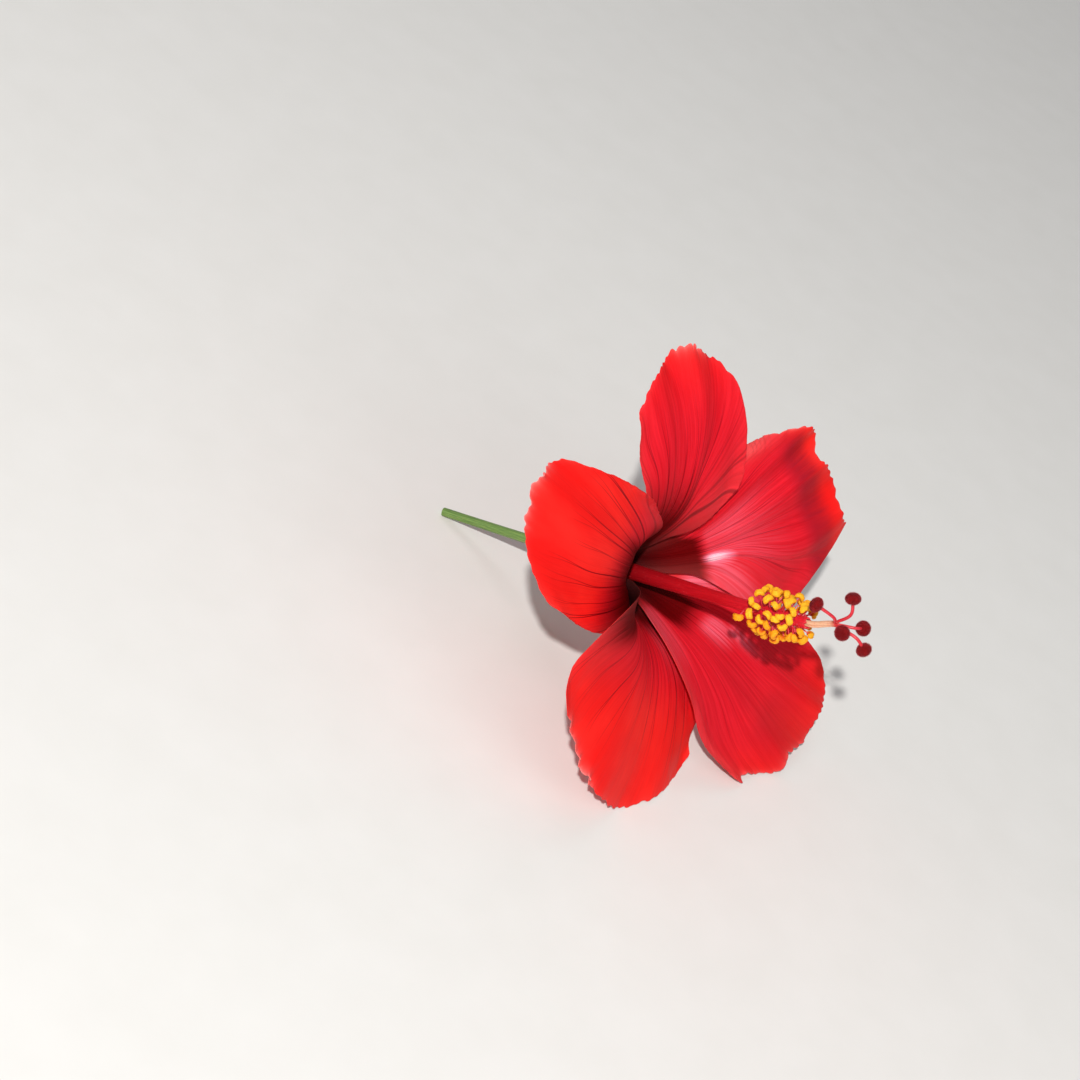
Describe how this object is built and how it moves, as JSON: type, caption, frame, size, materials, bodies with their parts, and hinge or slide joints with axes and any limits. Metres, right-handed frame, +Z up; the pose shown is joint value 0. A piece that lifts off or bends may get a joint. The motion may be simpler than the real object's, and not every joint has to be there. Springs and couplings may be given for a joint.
{
  "type": "hibiscus flower",
  "caption": "Open hibiscus bloom as picked, with lapped waved petals, long column of stamens, stigmas, calyx, bracts and short cut stalk, lying on its lower petals and stalk.",
  "frame": {"origin": "middle of the base of the bounding box, on the surface that the flower lies on", "axes": "+Z up from the surface; the open bloom looks up towards -Y and +X; +X to the right as the picture's viewer sees it"},
  "size_m": [0.127, 0.12, 0.1015],
  "materials": {
    "petal": "satin",
    "column": "satin",
    "stigma": "matte",
    "calyx": "satin",
    "stalk": "satin"
  },
  "bodies": {
    "root": {"petal_top": "petal", "petal_right": "petal", "petal_lower_right": "petal", "petal_lower_left": "petal", "petal_left": "petal", "staminal_column": "column", "pistil": "stigma", "calyx": "calyx", "bracts": "calyx", "stalk": "stalk"}
  },
  "joints": []
}
